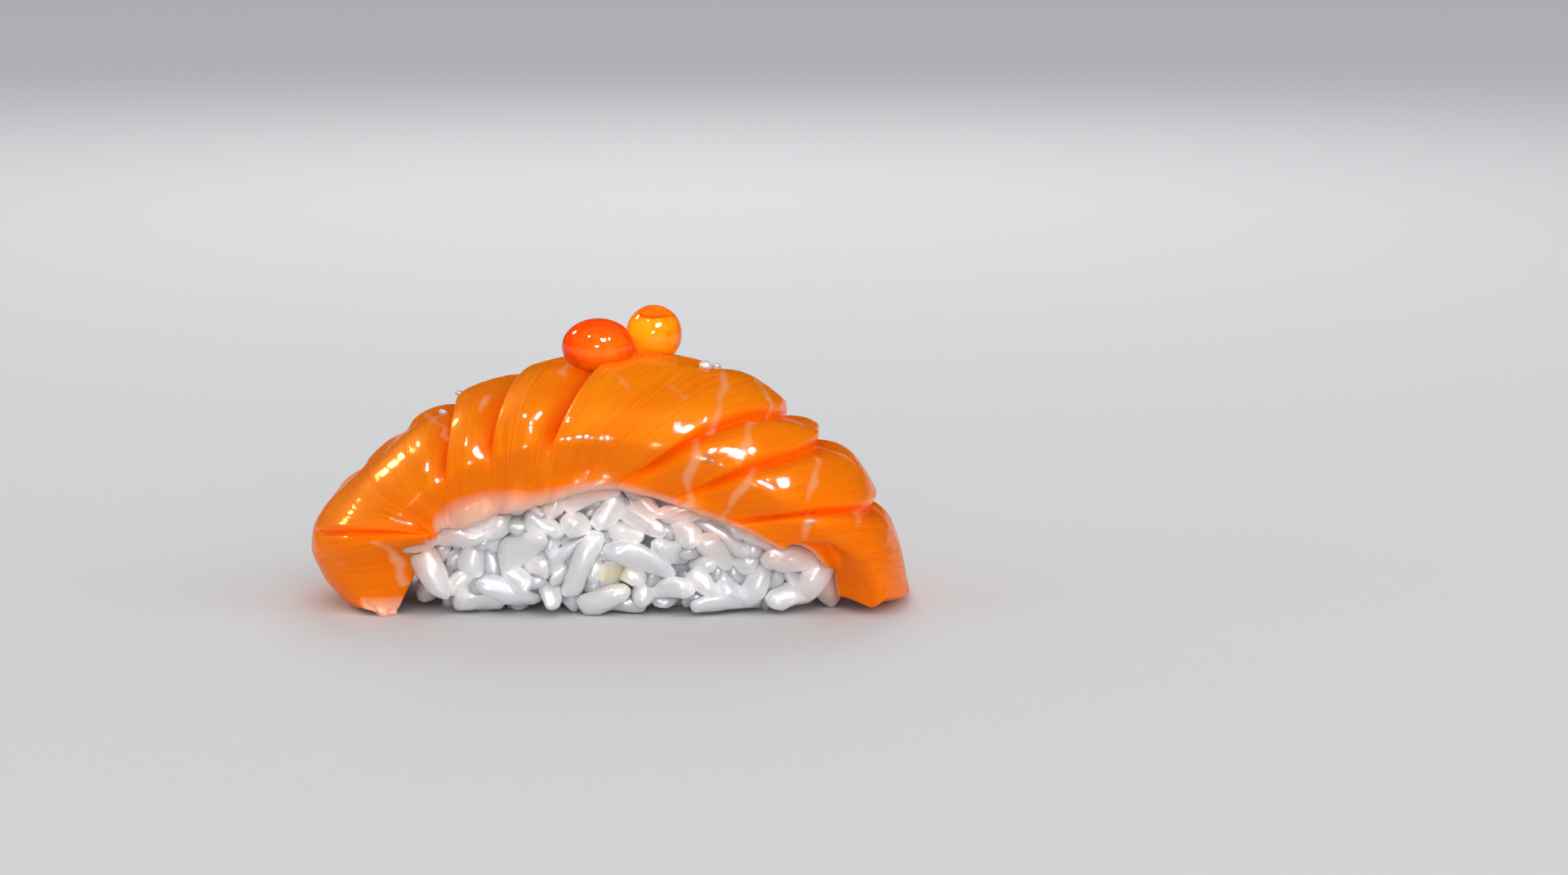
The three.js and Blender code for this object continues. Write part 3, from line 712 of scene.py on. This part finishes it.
def grain_tree():
    """Geometry Nodes: a plump blunt grain on every point, each with dents and a bend of its own."""
    tree = bpy.data.node_groups.new("rice_grains", "GeometryNodeTree")
    for name, kind in (("Points", "Geometry"), ("Sides", "Int"), ("Rings", "Int"), ("Bluntness", "Float"),
                       ("Warp", "Float"), ("Dents", "Float"), ("Seed", "Int"), ("Skin", "Material")):
        tree.interface.new_socket(name, in_out="INPUT", socket_type="NodeSocket" + kind)
    tree.interface.new_socket("Grains", in_out="OUTPUT", socket_type="NodeSocketGeometry")
    given = wire(tree, "NodeGroupInput").outputs

    def made(kind, inputs, settings=None):
        return wire(tree, kind, settings, inputs).outputs[0]

    def vector_math(operation, inputs):
        return made("ShaderNodeVectorMath", inputs, {"operation": operation})

    finesse = {"Segments": given["Sides"], "Rings": given["Rings"], "Radius": 1.0}
    ball = made("GeometryNodeMeshUVSphere", finesse)
    along = made("GeometryNodeTransform", {"Geometry": ball, "Rotation": (0, math.pi / 2, 0)})
    place = made("GeometryNodeInputPosition", {})
    x, y, z = wire(tree, "ShaderNodeSeparateXYZ", None, {0: place}).outputs
    length = sum_up(tree, "POWER", sum_up(tree, "ABSOLUTE", x), given["Bluntness"])
    length = times(tree, length, sum_up(tree, "SIGN", x))
    from_end = sum_up(tree, "SUBTRACT", 0.4, times(tree, length, length))
    shapes = wire(tree, "GeometryNodeJoinGeometry")
    for taper, bend in ((0.0, 0.12), (0.28, 0.2), (0.12, 0.42)):
        thin = sum_up(tree, "SUBTRACT", 1.0, times(tree, length, taper))
        high = add(tree, times(tree, z, thin), times(tree, from_end, bend))
        shape = made("ShaderNodeCombineXYZ", {0: length, 1: times(tree, y, thin), 2: high})
        grain = made("GeometryNodeSetPosition", {"Geometry": along, "Position": shape})
        tree.links.new(made("GeometryNodeGeometryToInstance", {0: grain}), shapes.inputs[0])
    turn, size = (made("GeometryNodeInputNamedAttribute", {"Name": name}, {"data_type": "FLOAT_VECTOR"})
                  for name in ("turn", "size"))
    heap = made("GeometryNodeInstanceOnPoints", {
        "Points": given["Points"],
        "Instance": shapes.outputs[0],
        "Pick Instance": True,
        "Rotation": turn,
        "Scale": size,
    })
    tone = wire(tree, "FunctionNodeRandomValue", {"data_type": "FLOAT"}, {"Seed": given["Seed"]}).outputs[1]
    toned = made("GeometryNodeStoreNamedAttribute", {"Geometry": heap, "Name": "tone", "Value": tone},
                 {"domain": "INSTANCE", "data_type": "FLOAT"})
    grains = made("GeometryNodeRealizeInstances", {"Geometry": toned})
    for pitch, amount in ((1 / 6.5, given["Warp"]), (1 / 1.5, given["Dents"])):
        place = made("GeometryNodeInputPosition", {})
        noise = {"Vector": place, "Scale": pitch / MM, "Detail": 1.0}
        colour = wire(tree, "ShaderNodeTexNoise", None, noise).outputs["Color"]
        centred = vector_math("SUBTRACT", {0: colour, 1: (0.5, 0.5, 0.5)})
        shift = vector_math("SCALE", {0: centred, "Scale": amount})
        grains = made("GeometryNodeSetPosition", {"Geometry": grains, "Offset": shift})
    smooth = made("GeometryNodeSetShadeSmooth", {"Geometry": grains})
    skinned = made("GeometryNodeSetMaterial", {"Geometry": smooth, "Material": given["Skin"]})
    wire(tree, "NodeGroupOutput", None, {0: skinned})
    return tree


def set_inputs(modifier, values):
    """Sets a Geometry Nodes modifier's inputs, named as in its tree, by their identifiers."""
    for socket in modifier.node_group.interface.items_tree:
        if socket.in_out == "INPUT" and socket.name in values:
            modifier[socket.identifier] = values[socket.name]


def made_real(piece, name):
    """The piece as its modifiers leave it, as a plain mesh with none."""
    bpy.context.view_layer.update()
    mesh = bpy.data.meshes.new_from_object(piece.evaluated_get(bpy.context.evaluated_depsgraph_get()))
    bpy.data.objects.remove(piece)
    mesh.name = name
    return put_in_scene(name, mesh)


def move_to(piece, places):
    """Moves the piece's vertices to places in the slice's own millimetres."""
    piece.data.vertices.foreach_set("co", in_place(places).astype(np.float32).ravel())
    piece.data.update()


def places_of(piece):
    """The piece's vertices in the slice's own millimetres."""
    flat = np.empty(len(piece.data.vertices) * 3, np.float32)
    piece.data.vertices.foreach_get("co", flat)
    return flat.reshape(-1, 3) / MM - origin_shift


RICE_WHITE = (0.71, 0.7, 0.69)
RICE_COOL = (0.65, 0.67, 0.7)
RICE_DULL = (0.72, 0.72, 0.72)
# painted light: the orange the slice throws onto rice near it
RICE_PAINTED_BOUNCE = (0.8, 0.43, 0.33)
VINEGAR = (0.78, 0.68, 0.36)
VINEGAR_DAB = (0.8, 4.9)  # x and z of a yellowish dab of seasoning on the front


def cooked_rice():
    """Wet, slightly clear white starch with small dents that break up its gloss."""
    material, tree, surface = new_material("cooked_rice")
    where = wire(tree, "ShaderNodeTexCoord").outputs["Object"]
    colour = blend_colours(tree, read_number(tree, "tone"), RICE_WHITE, RICE_COOL)
    dull = spread(tree, clouds(tree, where, 500.0), 0.45, 0.75, 0, 0.35)
    colour = blend_colours(tree, dull, colour, RICE_DULL)
    # Painted light: rice near the slice is tinted pink, standing in for the slice's orange light on it.
    colour = blend_colours(tree, read_number(tree, "painted_bounce"), colour, RICE_PAINTED_BOUNCE)
    from_dab = distance_from(tree, where, (VINEGAR_DAB[0], -RICE_REACH["across"], VINEGAR_DAB[1]))
    ragged = add(tree, from_dab, times(tree, clouds(tree, where, 900.0), 2.4 * MM))
    yellowed = spread(tree, ragged, 1.7 * MM, 3.6 * MM, 0.8, 0.0, smooth=True)
    colour = blend_colours(tree, yellowed, colour, VINEGAR)
    dents = add(tree, clouds(tree, where, 2600.0, 2.0), clouds(tree, where, 700.0, 1.0))
    surface.subsurface_method = "BURLEY"
    feed(surface, {
        "Base Color": colour,
        "Roughness": 0.3,
        "Normal": dented(tree, dents, 0.3, 0.12 * MM),
        "Subsurface Weight": 1.0,
        "Subsurface Radius": (1.0, 0.85, 0.75),
        "Subsurface Scale": 3.5 * MM,
        "Specular IOR Level": 0.3,
        "Coat Weight": 0.7,
        "Coat IOR": WATER_IOR,
        "Coat Roughness": 0.03,
        "Coat Normal": dented(tree, dents, 1.0, 0.4 * MM),
    })
    return material


def fix_rice(piece):
    """Rice near the slice is painted pinker, as painted light standing in for the slice's orange showing
    through it, so each vertex keeps how near it is.
    """
    from_slice = np.array([under.find(p)[2] for p in places_of(piece)])
    keep_numbers(piece, "painted_bounce", np.exp(-np.maximum(from_slice - 0.8, 0) / 1.3))
    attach(piece, "root")
    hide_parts("rice")


rice_skin = cooked_rice()
grains = grain_tree()
GRAIN_SHAPE = {"Bluntness": 0.62, "Warp": 3 * MM, "Dents": 0.6 * MM, "Seed": 3, "Skin": rice_skin}
SQUASH_BELOW = 0.3  # height under which the grains are pressed flat by the table
for name, chosen, sides, rings in (
        ("rice_face_grains", slice(0, front_count), 24, 14),
        ("rice_grains", slice(front_count, None), 10, 6)):
    loose = lay_points(name + "_points", centres[chosen], lying[chosen], lengths[chosen], widths[chosen])
    modifier = loose.modifiers.new("grains", "NODES")
    modifier.node_group = grains
    set_inputs(modifier, {"Sides": sides, "Rings": rings, **GRAIN_SHAPE})
    piled = made_real(loose, name)
    places = places_of(piled)
    room = SQUASH_BELOW - FLOOR_GAP
    pressed = SQUASH_BELOW - room * np.tanh((SQUASH_BELOW - places[:, 2]) / room)
    places[:, 2] = np.where(places[:, 2] < SQUASH_BELOW, pressed, places[:, 2])
    move_to(piled, places)
    fix_rice(piled)


def round_ball(segments, rings):
    """Points of a closed unit ball with its poles at the bottom and the top, and its faces."""
    turns = np.linspace(0, 2 * math.pi, segments, endpoint=False)
    lifts = np.linspace(-math.pi / 2, math.pi / 2, rings + 1)[1:-1]
    lift, turn = np.meshgrid(lifts, turns, indexing="ij")
    points = np.stack([np.cos(lift) * np.cos(turn), np.cos(lift) * np.sin(turn), np.sin(lift)], -1)
    points = np.concatenate([points.reshape(-1, 3), [[0, 0, -1], [0, 0, 1]]])
    grid = np.arange(len(lifts) * segments).reshape(len(lifts), segments)
    low, high = grid[:-1], grid[1:]
    faces = np.stack([low, np.roll(low, -1, 1), np.roll(high, -1, 1), high], -1).reshape(-1, 4).tolist()
    south, north, top = len(points) - 2, len(points) - 1, grid[-1].tolist()
    faces += [(south, (i + 1) % segments, i) for i in range(segments)]
    faces += [(north, top[i], top[(i + 1) % segments]) for i in range(segments)]
    return points, faces


# The grains deep in the block are stuck into one mass.
HEART_DEPTH = 2.6  # under the slice and inside the block's face
ball_points, ball_faces = round_ball(120, 80)
square_up = np.sign(ball_points) * np.abs(ball_points) ** 0.7
inwards = np.where(square_up[:, 2:] > 0, (2, 2, 3), (2, 2, 3.2))
core = RICE_MIDDLE + square_up * (block_reach(square_up) - inwards)
for _ in range(40):
    depth, _ = into_slice(core)
    outside, _ = outside_block(core)
    too_far = (depth > -HEART_DEPTH) | (outside > -HEART_DEPTH)
    core[too_far] = lerp(RICE_MIDDLE, core[too_far], 0.96)
uneven_x, uneven_y = core[:, 0] / 4 + core[:, 1] / 5, core[:, 2] / 4
core += 0.45 * np.stack([ripple(uneven_x, uneven_y, seed) for seed in (31, 32, 33)], -1)
core[:, 2] = np.maximum(core[:, 2], 0.2)
heart = new_piece("rice_heart", in_place(core), ball_faces)
heart.data.materials.append(rice_skin)
fix_rice(heart)


def surface_of(piece):
    """The piece as it is now, for rays to hit."""
    bpy.context.view_layer.update()
    return BVHTree.FromObject(piece, bpy.context.evaluated_depsgraph_get())


# The thin hems of the slice lie on the grains under them and take their shape.
HEM_SINK = 2.4
OVER_GRAIN = 0.3
LOOK_BACK = 3  # how far above the slice the search for a grain starts
across_rows, share_rows = facts["across"] / HALF_WIDTH, facts["share"]
hem_rows = smoothstep(np.abs(across_rows), 0.7, 0.97)
hem_rows = hem_rows * smoothstep(share_rows, 0.27, 0.33) * (1 - smoothstep(share_rows, 0.9, 0.95))
draped = places_of(salmon).reshape(columns, rows, 3)
_, _, outwards = directions(share_rows, across_rows)
grain_surfaces = [surface_of(bpy.data.objects[name]) for name in ("rice_face_grains", "rice_grains")]
sinking = np.zeros((columns, ROWS_ABOVE + 1))
for column, row in np.argwhere(hem_rows[:, :ROWS_ABOVE + 1] > 0.02):
    way = Vector(-outwards[column, row])
    start = Vector(in_place(draped[column, row])) - way * LOOK_BACK * MM
    hits = [surface.ray_cast(start, way, 8 * MM)[3] for surface in grain_surfaces]
    clear = min((hit for hit in hits if hit), default=(LOOK_BACK + HEM_SINK) * MM) / MM - LOOK_BACK
    sinking[column, row] = np.clip(clear - OVER_GRAIN, -1.2, HEM_SINK)

# It lies over narrow grain tips too, and is smooth from one mesh line to the next.
for _ in range(2):
    sinking = np.minimum(sinking, np.minimum(np.roll(sinking, 1, 0), np.roll(sinking, -1, 0)))
    sinking[:, 1:-1] = np.minimum(sinking[:, 1:-1], np.minimum(sinking[:, :-2], sinking[:, 2:]))
for _ in range(2):
    sinking = (sinking + np.roll(sinking, 1, 0) + np.roll(sinking, -1, 0)) / 3
    sinking[:, 1:-1] = (sinking[:, :-2] + sinking[:, 1:-1] + sinking[:, 2:]) / 3
sinking *= hem_rows[:, :ROWS_ABOVE + 1]
row_of = np.round((across_rows + 1) / 2 * ROWS_ABOVE).astype(int)
shift = np.take_along_axis(sinking, np.clip(row_of, 0, ROWS_ABOVE), 1)
draped -= outwards * shift[..., None]
draped[..., 2] = np.maximum(draped[..., 2], FLOOR_GAP)
move_to(salmon, draped)

# A few crumbs of rice stick to the slice's crest.
CRUMBS = [(0.664, -0.05, 0.6), (0.674, 0.06, 0.4), (0.425, -0.05, 0.42), (0.44, 0.04, 0.35)]
salmon_surface = surface_of(salmon)
for i, (along, across, size) in enumerate(CRUMBS):
    unit, crumb_faces = round_ball(16, 10)
    unit *= 1 + 0.2 * ripple((unit[:, :1] + unit[:, 1:2]) / 3, unit[:, 2:] / 3 + i, 70 + i)
    above = upper_face(np.array([along]), np.array([across]))[0] + (0, 0, 3)
    lands = salmon_surface.ray_cast(Vector(in_place(above)), Vector((0, 0, -1)))[0]
    place = np.array(lands) / MM - origin_shift + (0, 0, size * 0.4)
    crumb = new_piece(f"rice_crumb_{i + 1}", in_place(place + unit * size * (1.3, 1, 0.9)), crumb_faces)
    keep_numbers(crumb, "tone", np.full(len(unit), 0.4))
    # a little of the same painted light from the slice
    keep_numbers(crumb, "painted_bounce", np.full(len(unit), 0.1))
    crumb.data.materials.append(rice_skin)
    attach(crumb, "root")

# ------------------------------------------------------------------ the roe
# Two salmon eggs, each a clear skin round a cloudy orange inside, set down on the slice's crest.
# The left one is larger and deeper in colour, and lies in the opened cut.

ROE_RIGHT = dict(centre=(5.1, 4.0, 30.1), radii=(3.25, 3.3, 3.35))


def round_shell(name, centre, radii, uneven, seed):
    """A closed ball, a little uneven."""
    unit, faces = round_ball(48, 32)
    swell = 1 + uneven * ripple(unit[:, 0] / 2 + unit[:, 2] / 3, unit[:, 1] / 2, seed)
    return new_piece(name, in_place(np.array(centre) + unit * swell[:, None] * np.array(radii)), faces)


def roe_skin(name, colour):
    """The thin clear skin and the clear fluid just under it."""
    material, tree, surface = new_material(name)
    where = wire(tree, "ShaderNodeTexCoord").outputs["Object"]
    paler = tuple(lerp(c, 1.0, 0.4) for c in colour)
    feed(surface, {
        "Base Color": blend_colours(tree, clouds(tree, where, 300.0), colour, paler),
        "Roughness": 0.03,
        "IOR": WATER_IOR,
        "Normal": dented(tree, clouds(tree, where, 700.0), 0.15, 0.1 * MM),
        "Transmission Weight": 1.0,
    })
    return material


def roe_yolk(name, low_at, pale, deep):
    """The cloudy orange inside, lighter low down at the front where light gathers."""
    material, tree, surface = new_material(name)
    where = wire(tree, "ShaderNodeTexCoord").outputs["Object"]
    share = spread(tree, distance_from(tree, where, low_at), 1.2 * MM, 4.6 * MM)
    mottle = spread(tree, clouds(tree, where, 900.0, 3.0, 0.6), 0.35, 0.7, -0.3, 0.3)
    feed(surface, {
        "Base Color": blend_colours(tree, add(tree, share, mottle), pale, deep),
        "Roughness": 0.6,
        "Specular IOR Level": 0.05,
        "Subsurface Weight": 0.6,
        "Subsurface Radius": (1.0, 0.35, 0.05),
        "Subsurface Scale": 2 * MM,
    })
    return material


ROE_MAKE = (
    ("left", ROE_LEFT, (1.0, 0.7, 0.4), (0.6, -2.6, -1.4), (0.62, 0.12, 0.001), (0.38, 0.03, 0.0)),
    ("right", ROE_RIGHT, (1.0, 0.85, 0.5), (-0.6, -2.4, 0.4), (0.68, 0.22, 0.002), (0.48, 0.09, 0.0)),
)
for name, roe, skin_colour, light_spot, pale, deep in ROE_MAKE:
    centre, radii = np.array(roe["centre"]), np.array(roe["radii"])
    egg = round_shell(f"roe_{name}_skin", centre, radii, uneven=0.012, seed=3)
    egg.data.materials.append(roe_skin(f"roe_skin_{name}", skin_colour))
    yolk = round_shell(f"roe_{name}_yolk", centre, radii * 0.82, uneven=0.03, seed=8)
    yolk.data.materials.append(roe_yolk(f"roe_yolk_{name}", centre + light_spot, pale, deep))
    for piece in (egg, yolk):
        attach(piece, "root")
        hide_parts(f"roe_{name}")

# The drop of oil that floats to the top of the right egg.
drop_centre = np.array(ROE_RIGHT["centre"]) + (0.1, -0.5, 2.35)
drop = round_shell("roe_right_oil", drop_centre, (1.75, 1.6, 0.6), uneven=0.02, seed=5)
oil = roe_yolk("roe_oil", drop_centre + (0.8, -1, 0.6), (0.75, 0.1, 0.001), (0.5, 0.025, 0.0))
drop.data.materials.append(oil)
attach(drop, "root")
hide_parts("roe_right")

# ------------------------------------------------------------------ the floor, the light and the view
# A plain pale floor and soft studio light, and a long lens that looks a little down at the front.

floor_mesh = bpy.data.meshes.new("floor")
floor_mesh.from_pydata([(-3, -3, 0), (3, -3, 0), (3, 3, 0), (-3, 3, 0)], [], [(0, 1, 2, 3)])
floor = put_in_scene("floor", floor_mesh)
floor_material, _, floor_surface = new_material("pale_floor")
feed(floor_surface, {
    "Base Color": (0.7, 0.7, 0.705, 1),
    "Roughness": 0.8,
    "Specular IOR Level": 0.05,
})
floor_mesh.materials.append(floor_material)

world = bpy.data.worlds.new("studio")
bpy.context.scene.world = world
world.use_nodes = True
feed(world.node_tree.nodes["Background"], {"Color": (0.9, 0.92, 0.95, 1), "Strength": 0.66})
world.cycles_visibility.glossy = False


def soft_light(name, turn, lift, away, size, power, glint=False, colour=(1, 1, 1)):
    """A square soft box, turned in degrees to the right of the front and lifted over the floor.

    It lights the piece, or only shows as a glint on its wet surface."""
    turn, lift = math.radians(turn), math.radians(lift)
    way = Vector((math.sin(turn) * math.cos(lift), -math.cos(turn) * math.cos(lift), math.sin(lift)))
    lamp = bpy.data.lights.new(name, "AREA")
    lamp.size = size
    lamp.energy = power
    lamp.color = colour
    holder = put_in_scene(name, lamp)
    holder.visible_glossy = glint
    holder.visible_diffuse = holder.visible_transmission = not glint
    holder.location = Vector((0, 0, 0.015)) + way * away
    holder.rotation_euler = (-way).to_track_quat("-Z", "Y").to_euler()


soft_light("front fill", 12, 28, 0.7, 0.5, 0.8)
soft_light("low fill", 0, 4, 0.7, 0.4, 0.7)
soft_light("right fill", 75, 25, 0.7, 0.4, 0.75)
soft_light("left fill", -75, 25, 0.7, 0.4, 0.45)
soft_light("front glint", 19, 42, 0.55, 0.11, 11, glint=True)
soft_light("right glint", 41, 46, 0.55, 0.07, 5, glint=True)
soft_light("left glint", -38, 57, 0.55, 0.04, 4, glint=True)
soft_light("low glint", -3, 14, 0.55, 0.05, 5, glint=True)
soft_light("left back", -121, 38, 0.55, 0.08, 6, glint=True, colour=(1, 0.6, 0.15))
soft_light("back", 180, 35, 0.55, 0.3, 0.7)

PIXELS_TO_MM = 10.6
FRAME_SIZE = (1920, 1072)
ORIGIN_PIXEL = (747, 731)  # where the slice's own origin shows
ELEVATION = math.radians(10)
camera_data = bpy.data.cameras.new("camera")
camera_data.lens = 100
camera_data.sensor_width = 36
camera = put_in_scene("camera", camera_data)
bpy.context.scene.camera = camera
distance = FRAME_SIZE[0] / PIXELS_TO_MM * camera_data.lens / camera_data.sensor_width * MM
look = Vector((0, math.cos(ELEVATION), -math.sin(ELEVATION)))
up = Vector((0, math.sin(ELEVATION), math.cos(ELEVATION)))
across_view = (FRAME_SIZE[0] / 2 - ORIGIN_PIXEL[0]) / PIXELS_TO_MM * MM
up_view = (ORIGIN_PIXEL[1] - FRAME_SIZE[1] / 2) / PIXELS_TO_MM * MM
aim = Vector(origin_shift * MM) + Vector((across_view, 0, 0)) + up * up_view
camera.location = aim - look * distance
camera.rotation_euler = look.to_track_quat("-Z", "Y").to_euler()
bpy.context.scene.view_settings.view_transform = "Standard"
